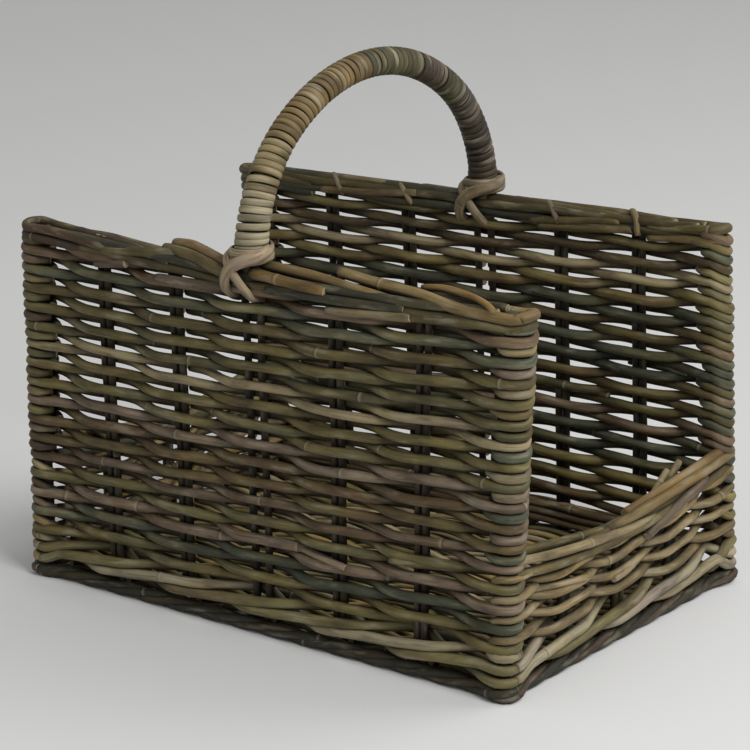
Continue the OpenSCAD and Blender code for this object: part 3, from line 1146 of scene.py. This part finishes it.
NEAR_RIM_RODS = (
    RimRod(((2, -4, 4), (56, -2, 2.2), (97, 2, -1.8), (139, 6, -5.8)), 4.2, Hue.TAN, 0.5),
    RimRod(((5, 7, 0), (40, 8, -3), (73, 8.5, -5)), 4.2, Hue.GOLD, 0.5),
    RimRod(
        ((74, -8, 7), (119, -4, 3), (149, 1, 1.7), (184, 7.5, -3)), 4.3, Hue.TAN, 0.75, 1, (-5.6, -2.5, -5)
    ),
    RimRod(((143, -10, 4), (164, -8, 6), (192, 0, 4), (209, 8, 0), (214, 10, -7)), 2.9, Hue.GOLD, 1.0),
    RimRod(((74, 8, -19), (112, 9, -16.3), (146, 9, -14)), 3.9, Hue.PALE, 0.45),
    RimRod(((96, 4, -13), (150, 7, -14), (195, 9, -12)), 3.7, Hue.OLIVE, 0.5, 1, (-13, -10, -12)),
    RimRod(((-128, 5, -7.5), (-150, 8, -4.5), (-200, 9, -2.8)), 3.7, Hue.UMBER, 0.45, -1, (-5, -4, -3)),
    RimRod(((-150, 5, -12), (-190, 8, -10.5)), 3.7, Hue.UMBER, 0.3, -1, (-11.5, -11, -10)),
    RimRod(((-182, -3, -1.5), (-128, 0, -2.5), (-76, 5, -6)), 4.0, Hue.UMBER, 0.2),
    RimRod(((-144, 8, -8), (-97, 5, -2), (-64, 0, 1), (-20, -4, 0)), 4.2, Hue.OLIVE, 0.5),
    RimRod(((-80, -7, 5.5), (-58, -5, 6.5), (-24, 2, 1.5), (-6, 6, -2)), 4.8, Hue.GOLD, 0.6),
    RimRod(((-86, -2, 2), (-52, 4, 2), (-23, 9, -3), (-8, 9, -6)), 4.6, Hue.OLIVE, 0.7),
    RimRod(((-88, 8, -20), (-55, 9, -18), (-18, 8, -15.5)), 3.8, Hue.MAUVE, 0.25),
    RimRod(((-152, 8, -20), (-118, 9.5, -14)), 3.6, Hue.MAUVE, 0.45),
    RimRod(((20, 8, -11), (80, 9, -10), (140, 8, -9)), 3.6, Hue.GREEN_GREY, 0.0),
)
FAR_RIM_RODS = (
    RimRod(((225, -4, -1), (120, -3, 1), (20, -2, 1)), 4.2, Hue.GREEN_GREY, 0.4),
    RimRod(((60, 0, 1.5), (-60, -3, 0.5), (-140, -5, -3)), 4.2, Hue.OLIVE, 0.3),
    RimRod(((-30, -1, 1), (-130, 0, 0), (-190, -4, -2)), 4.2, Hue.OLIVE, 0.35),
    RimRod(((-51, -8, -12), (-95, -8.5, -8), (-138, -7, -4.5)), 3.6, Hue.OLIVE, 0.8),
    RimRod(((-60, -8, -16), (-110, -9, -13), (-150, -8, -10)), 3.6, Hue.OLIVE, 0.5),
    RimRod(((154, -8, -10), (105, -9, -6), (61, -7, -2)), 3.7, Hue.TAN, 0.3),
    RimRod(((136, -5, 2.5), (93, -4, 3)), 2.4, Hue.PALE, 0.8),
    RimRod(((-130, 7, -3), (-180, 9, -5), (-205, 10, -5)), 4.0, Hue.OLIVE, 0.5, -1, (-5, -3, -4)),
    RimRod(((130, 7, -3), (180, 9, -5), (205, 10, -5)), 4.0, Hue.OLIVE, 0.4, 1, (-5, -3, -4)),
    RimRod(((-140, 6, -12), (-200, 9, -13)), 3.7, Hue.TAN, 0.4, -1, (-13, -12, -12)),
    RimRod(((140, 6, -12), (200, 9, -13)), 3.7, Hue.GREEN_GREY, 0.4, 1, (-13, -12, -12)),
    RimRod(((152, 4, 0), (145, -3, 3), (138, -8.5, -2), (132, -10, -12)), 2.5, Hue.MAUVE, 0.9),
    RimRod(((88, 4, 0), (80, -3, 3), (72, -8.5, -2), (64, -10, -12)), 2.5, Hue.PALE, 0.6),
    RimRod(((-58, 4, 0), (-66, -3, 3), (-74, -8.5, -2), (-80, -10, -12)), 2.5, Hue.MAUVE, 0.8),
    RimRod(((-141, 4, 0), (-148, -3, 3.5), (-155, -9, -2), (-157, -10.5, -14)), 2.7, Hue.PALE, 0.7),
)


@dataclass
class LongRim(WallPart):
    """A long wall's rim: rods laid over a bed of long rods, with a loop round each post."""

    rods: tuple[RimRod, ...]
    seed: int
    bed_r: float = 3.8 * MM

    def _over(self, u: float, v: float, over: float) -> Vector:
        """A point of the rim from millimetres along, outwards and over the rim's top."""
        return self.spot(u * MM, v * MM, self.layout.rim_top - 4 * MM + over * MM)

    def build(self) -> None:
        """Builds the bed and the rods laid over it."""
        rng = random.Random(self.seed)
        piece = self.piece(f"{self.side.label}_rim", Finish.RIM, sides=12)
        self._bed(piece, rng)
        for rod in self.rods:
            knots = [self._over(*knot) for knot in rod.line]
            if rod.post:
                knots += self._round_post(rod)
            hue = rod.hue.value + rng.uniform(-0.03, 0.03)
            piece.add(make_rod(through(knots), rod.radius * MM, rng, hue, rod.light))
        piece.build()

    def _bed(self, piece: Piece, rng: random.Random) -> None:
        """The long dark rods that lie inside and outside the stakes."""
        reach = self.half / MM - 14
        for v, over in ((6.5, -10.5), (-7.0, -10.0), (-6.5, -2.5), (5.5, -3.5)):
            drift = Wander(rng, 0.9)
            knots = [
                self._over(u, v + drift.at(u * MM), over + drift.at(u * MM + 0.3))
                for u in spread(-reach, reach, 89)
            ]
            hue = pick(rng, {Hue.GREEN_GREY: 1, Hue.OLIVE: 2})
            piece.add(make_rod(knots, self.bed_r, rng, hue, 0.15))

    def _round_post(self, rod: RimRod) -> list[Vector]:
        """The knots of a rod's turn round a post, and of its tail inside the wall."""
        half = self.half / MM
        turn_r = self.layout.post_r / MM + rod.radius * 0.95
        front, middle, back = rod.turn
        knots = []
        for i in range(9):
            angle = math.pi * i / 8
            over = mix(front, middle, i / 4) if i < 5 else mix(middle, back, i / 4 - 1)
            u = rod.post * (half + turn_r * math.sin(angle))
            knots.append(self._over(u, turn_r * math.cos(angle), over))
        knots.append(self._over(rod.post * (half - 22), -turn_r * 0.9, back - 0.5))
        knots.append(self._over(rod.post * (half - 62), -6.5, back - 3))
        return knots


# An end rim's rods: the shares of half the wall's length, the distances outwards and the heights at which
# each starts and ends, the last two in millimetres.
END_RIM_RODS = (
    ((-1.02, 0.35), (9.0, 6.0), (9.0, 1.0), Hue.PALE),
    ((-0.62, 0.80), (-5.0, 6.0), (3.0, 3.0), Hue.OLIVE),
    ((-0.08, 1.03), (2.0, 9.0), (10.0, 8.0), Hue.TAN),
    ((0.10, 1.04), (-4.0, 6.0), (12.0, 13.0), Hue.GOLD),
    ((0.18, 0.74), (9.0, 10.5), (-8.0, 5.0), Hue.MAUVE),
    ((-1.03, -0.10), (-7.0, -5.0), (9.0, 7.0), Hue.OLIVE),
    ((-1.0, 1.0), (-7.5, -7.5), (3.0, 2.0), Hue.GREEN_GREY),
    ((-1.0, 1.0), (7.2, 7.2), (-2.0, -1.0), Hue.OLIVE),
)


@dataclass
class EndRim(WallPart):
    """An end wall's rim: a few long rods laid over each other, that sag by dip between the posts.

    rise is how far its ends climb. hump is how far each rod arches over the others, in millimetres.
    """

    seed: int
    dip: float
    rise: float
    rod_r: float = 4.3 * MM
    hump: float = 3.2

    def _over(self, s: float, v: float, z: float) -> Vector:
        """A point of the rim at the share s of half its length, v outwards and z up, in millimetres."""
        sag = self.rise * s * s - self.dip * (1 - s * s)
        return self.spot(s * self.half, v * MM, self.layout.end_rim_z + z * MM + sag)

    def build(self) -> None:
        """Builds the rim's rods and the two stake tips that stand over it."""
        rng = random.Random(self.seed)
        piece = self.piece(f"{self.side.label}_end_rim", Finish.RIM, sides=12)
        for reach, out, height, hue in END_RIM_RODS:
            drift = Wander(rng, 1.0 * MM)
            knots = []
            for share in spread(0, 1, 8):
                s, hump = mix(*reach, share), self.hump * math.sin(math.pi * share)
                knots.append(self._over(s, mix(*out, share) + drift.at(s), mix(*height, share) + hump))
            radius = self.rod_r * rng.uniform(0.82, 1.0)
            piece.add(make_rod(through(knots), radius, rng, hue.value, rng.uniform(0.5, 0.9)))
        for s in (0.42, 0.54):
            tip = ((s - 0.14, -7.0, -2.0), (s, -7.5, 11.0), (s + 0.13, -7.0, 23.0))
            line = through([self._over(*knot) for knot in tip])
            piece.add(make_rod(line, self.rod_r * 0.72, rng, Hue.PALE.value, 0.7))
        piece.build()


# A lashing's strands: the half width of each, and its knots across, outwards and up from the middle of
# the handle's foot at the rim's top, in millimetres.
LASHING_STRANDS = (
    (
        4.9,
        ((14, -4, 12), (13, 9, 9), (5, 16.5, 6), (-6, 17.5, 0), (-13, 16, -9), (-16, 12, -18), (-15, 3, -25))
        + ((-13, -6, -26),),
    ),
    (4.2, ((-15, 3, 8), (-14, 12, 4), (-8, 16, -2), (-1, 16, -10), (4, 13, -18), (6, 5, -25), (7, -6, -26))),
)


@dataclass
class Handle(SubAssembly):
    """The arched handle: a pole bent over, bound with split cane, its feet lashed to the rims.

    foot_r and top_r are the bound handle's radii. The arch has tight shoulders of shoulder_r, each
    turning by shoulder_turn, with a flatter crown between.
    """

    foot_r: float = 14.2 * MM
    top_r: float = 11.2 * MM
    strip_r: float = 2.9 * MM
    strip_pitch: float = 5.7 * MM
    strip_steps: int = 24
    strip_joints: int = 11
    seed: int = 71
    shoulder_r: float = 120 * MM
    shoulder_turn: float = math.radians(55)

    def _arch(self) -> list[Vector]:
        """The pole's centreline from the near foot over the top to the far foot."""
        reach = self.layout.post_y
        turn = self.shoulder_turn
        spring_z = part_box("handle_core")[1].z - 7 * MM - self._rise()
        centre = Vector((0, -reach + self.shoulder_r, spring_z))
        near = []
        for i in range(25):
            angle = math.pi - turn * i / 24
            near.append(centre + Vector((0, math.cos(angle), math.sin(angle))) * self.shoulder_r)
        join = near[-1]
        top_r = -join.y / math.cos(turn)
        top_centre = Vector((0, 0, join.z - top_r * math.sin(turn)))
        crown = []
        for angle in spread(math.pi - turn, turn, 32)[1:-1]:
            crown.append(top_centre + Vector((0, math.cos(angle), math.sin(angle))) * top_r)
        leg = Vector((0, -reach, self.layout.rim_z - 10 * MM))
        near = [leg, Vector((0, leg.y, (leg.z + near[0].z) / 2))] + near
        return near + crown + [Vector((0, -p.y, p.z)) for p in reversed(near)]

    def _rise(self) -> float:
        """The height of the crown over the level at which the shoulders spring."""
        turn, reach = self.shoulder_turn, self.layout.post_y
        join_y = reach - self.shoulder_r + self.shoulder_r * math.cos(turn)
        top_r = join_y / math.cos(turn)
        return self.shoulder_r * math.sin(turn) + top_r * (1 - math.sin(turn))

    def build(self) -> None:
        """Builds the pole, the binding and both lashings."""
        rng = random.Random(self.seed)
        line = through([self.lean.move(p) for p in self._arch()], 3 * MM)
        still = Lean(self.layout, (Vector(),) * 3, (Vector(),) * 3)
        core = Piece("handle_core_pole", Finish.CORE, ("handle_core",), still, sides=14)
        core.add(make_rod(line, self.top_r - 2.4 * MM, rng, Hue.OLIVE.value, 0.4))
        core.build()
        self._binding(line, still, rng)
        for side in (Side.NEAR, Side.FAR):
            self._lashing(side, line, still, rng)

    def _binding(self, line: list[Vector], still: Lean, rng: random.Random) -> None:
        """Winds the cane round the pole from foot to foot, in lengths with a tucked joint between."""
        piece = Piece("handle_binding_cane", Finish.BINDING, ("handle_wrap",), still, sides=8)
        lengths, top, steps = run(line), self.layout.rim_top, self.strip_steps
        first = next(d for d, p in zip(lengths, line) if p.z > top + 2 * MM)
        last = next(d for d, p in zip(reversed(lengths), reversed(line)) if p.z > top - 5 * MM)
        turns = (last - first) / self.strip_pitch
        final = round(turns * steps)
        jitter = Wander(rng, 0.9 * MM, 31 * MM)
        path, flats = [], []
        place = 0
        joints = sorted(rng.sample(range(6, int(turns) - 6), self.strip_joints))
        for number in range(final + 1):
            distance = first + (last - first) * number / (turns * steps)
            while place < len(lengths) - 2 and lengths[place + 1] < distance:
                place += 1
            share = (distance - lengths[place]) / (lengths[place + 1] - lengths[place])
            centre = line[place].lerp(line[place + 1], share)
            tangent = (line[min(place + 2, len(line) - 1)] - line[max(place - 1, 0)]).normalized()
            side_way = Vector((1, 0, 0))
            out_way = side_way.cross(tangent).normalized()
            angle = math.tau * number / steps
            way = out_way * math.cos(angle) + side_way * math.sin(angle)
            share = distance / lengths[-1]
            radius = mix(self.foot_r, self.top_r, math.sin(math.pi * share) ** 0.8)
            radius -= 1.4 * MM * smooth(share * 2 - 1)
            path.append(centre + way * (radius - self.strip_r * 0.45) + tangent * jitter.at(distance))
            flats.append(way)
            # A joint is at three quarters of a turn, on the side that isn't seen.
            if joints and number == joints[0] * steps + steps * 3 // 4 or number == final:
                look = {"flat": flats, "thin": 0.46, "scarred": 0.0}
                hue, look["fade"] = self._band_hue(share, rng), Wander(rng, 0.30, 70 * MM)
                light = rng.uniform(0.6, 0.8) - 0.55 * smooth(share * 4 - 0.6) - 0.6 * smooth(share * 3 - 1.6)
                piece.add(make_rod(path, self.strip_r, rng, hue, light, **look))
                path, flats = [path[-1]], [flats[-1]]
                joints = joints[1:]
        piece.build()

    def _band_hue(self, share: float, rng: random.Random) -> float:
        """The bark colour of a length of cane: pale at the near foot, golden up the arch, dull beyond."""
        if share < 0.22:
            return pick(rng, {Hue.PALE: 5, Hue.MAUVE: 1})
        if share < 0.50:
            return pick(rng, {Hue.TAN: 3, Hue.GOLD: 2})
        if share < 0.66:
            return pick(rng, {Hue.TAN: 2, Hue.OLIVE: 3})
        return pick(rng, {Hue.OLIVE: 3, Hue.UMBER: 2, Hue.MAUVE: 1})

    def _lashing(self, side: Side, line: list[Vector], still: Lean, rng: random.Random) -> None:
        """A collar round the foot, and two flat strands crossed down over the rim."""
        node = f"{side.label}_handle_lashing"
        piece = Piece(node + "_cane", Finish.LASHING, (node,), still, sides=12)
        foot = line[0] if side is Side.NEAR else line[-1]
        rim = self.lean.move(self.layout.spot(side, 0, 0, self.layout.rim_top))
        base = Vector((foot.x, foot.y, rim.z))
        # Both lashings are tied on the side that faces the near wall.
        outward, across = Side.NEAR.out, Vector((1, 0, 0))
        hue, light = (Hue.PALE.value, 0.35) if side is Side.FAR else (Hue.MAUVE.value + 0.1, 0.8)

        collar, flats = [], []
        turn_r = self.foot_r / MM + 1.2
        for i in range(2 * 24 + 1):
            angle = math.tau * (i / 24 - 0.25)
            way = outward * math.cos(angle) + across * math.sin(angle)
            collar.append(base + way * (turn_r * MM) + Vector((0, 0, (3.5 + 5.5 * i / 24) * MM)))
            flats.append(way)
        piece.add(make_rod(collar, 3.6 * MM, rng, hue, light, flat=flats, thin=0.55))
        for width, knots in LASHING_STRANDS:
            spots = []
            for u, v, z in knots:
                spots.append(base + across * (u * MM) + outward * (v * MM) + Vector((0, 0, z * MM)))
            path = through(spots, 3 * MM)
            look = {"flat": [outward] * len(path), "thin": 0.5}
            piece.add(make_rod(path, width * MM, rng, hue, light - 0.05, **look))
        piece.build()


# ------------------------------------------------------------------ the studio


@dataclass
class Studio:
    """A plain pale floor, soft lamps, and a camera with a long lens a good two metres off."""

    floor_reach: float = 9.0
    floor_colour: str = "#d6d6d5"
    sky: float = 0.46
    aim_z: float = 0.15
    lens_mm: float = 149.5
    camera_place: tuple[float, float, float] = (1.4463, -1.8874, 0.8938)
    camera_forward: tuple[float, float, float] = (-0.5833, 0.7585, -0.2908)
    camera_right: tuple[float, float, float] = (0.7948, 0.6068, -0.0114)

    def build(self) -> None:
        """Builds the floor, the lights and the camera."""
        self._floor()
        self._light("key_lamp", Vector((2.3, -0.6, 2.2)), size=1.4, power=64)
        self._light("top_lamp", Vector((1.5, 1.7, 2.6)), size=1.8, power=27)
        world = bpy.data.worlds.new("studio_air")
        world.use_nodes = True
        air = world.node_tree.nodes["Background"].inputs
        air["Color"].default_value = (1, 1, 1, 1)
        air["Strength"].default_value = self.sky
        bpy.context.scene.world = world
        bpy.context.scene.view_settings.view_transform = "Standard"
        self._camera()

    def _floor(self) -> None:
        """A round floor of matt painted board."""
        shape = bmesh.new()
        bmesh.ops.create_circle(shape, cap_ends=True, segments=64, radius=self.floor_reach)
        mesh = bpy.data.meshes.new("studio_floor")
        shape.to_mesh(mesh)
        shape.free()
        paint = bpy.data.materials.new("matt_floor_paint")
        paint.use_nodes = True
        skin = paint.node_tree.nodes["Principled BSDF"].inputs
        skin["Base Color"].default_value = linear(self.floor_colour)
        skin["Roughness"].default_value = 0.9
        mesh.materials.append(paint)
        floor = bpy.data.objects.new("studio_floor", mesh)
        bpy.context.scene.collection.objects.link(floor)

    def _light(self, name: str, place: Vector, size: float, power: float) -> None:
        """A square soft lamp that faces the basket."""
        lamp = bpy.data.lights.new(name, "AREA")
        lamp.size = size
        lamp.energy = power
        holder = bpy.data.objects.new(name, lamp)
        holder.location = place
        aim = Vector((0, 0, self.aim_z)) - place
        holder.rotation_euler = aim.to_track_quat("-Z", "Y").to_euler()
        bpy.context.scene.collection.objects.link(holder)

    def _camera(self) -> None:
        """The camera, from its place and the ways that it faces."""
        data = bpy.data.cameras.new("studio_camera")
        data.sensor_width = 36
        data.lens = self.lens_mm
        camera = bpy.data.objects.new("studio_camera", data)
        forward, right = Vector(self.camera_forward).normalized(), Vector(self.camera_right).normalized()
        up = right.cross(forward).normalized()
        turn = Matrix((right, up, -forward)).transposed().to_4x4()
        camera.matrix_world = Matrix.Translation(Vector(self.camera_place)) @ turn
        bpy.context.scene.collection.objects.link(camera)
        bpy.context.scene.camera = camera


def main() -> None:
    """Builds the basket round the frame, piece by piece, and sets the studio."""
    logging.basicConfig(level=logging.INFO, format="%(message)s")
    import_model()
    layout = Layout.from_frame()
    lean = Lean(layout)

    Studio().build()
    Uprights(layout, lean).build()
    Floor(layout, lean).build()
    FootBorder(layout, lean).build()
    Wale(layout, lean).build()
    wall_hues = {Hue.OLIVE: 5, Hue.GREEN_GREY: 3, Hue.UMBER: 3, Hue.MAUVE: 2, Hue.PALE: 1.5, Hue.TAN: 1}
    far_hues = {Hue.OLIVE: 4, Hue.GREEN_GREY: 5, Hue.UMBER: 2, Hue.MAUVE: 2, Hue.PALE: 0.7}
    end_hues = {Hue.OLIVE: 3, Hue.PALE: 4, Hue.MAUVE: 3, Hue.TAN: 2}
    pitch = (layout.rim_z - layout.weave_z) / LONG_ROWS
    for side, hues, rods, droop, seed in (
        (Side.NEAR, wall_hues, NEAR_RIM_RODS, 1.1 * MM, 101),
        (Side.FAR, far_hues, FAR_RIM_RODS, -0.9 * MM, 102),
    ):
        WovenWall(layout, lean, side, LONG_ROWS, pitch, Finish.WEAVER, hues, seed, droop=droop).build()
        LongRim(layout, lean, side, rods, seed + 20).build()
    dip, rise = 13 * MM, 4 * MM
    loose = {"rod_r": 3.5 * MM, "looseness": 1.6 * MM, "press": 0.0, "tilt": 1.8 * MM, "dip": dip}
    for side, seed in ((Side.RIGHT, 103), (Side.LEFT, 104)):
        where = (layout, lean, side, END_ROWS, pitch)
        WovenWall(*where, Finish.END_WEAVER, end_hues, seed, 0.75, splices=3, **loose).build()
        EndRim(layout, lean, side, seed + 20, dip, rise).build()
    Handle(layout, lean).build()


if __name__ == "__main__":
    main()
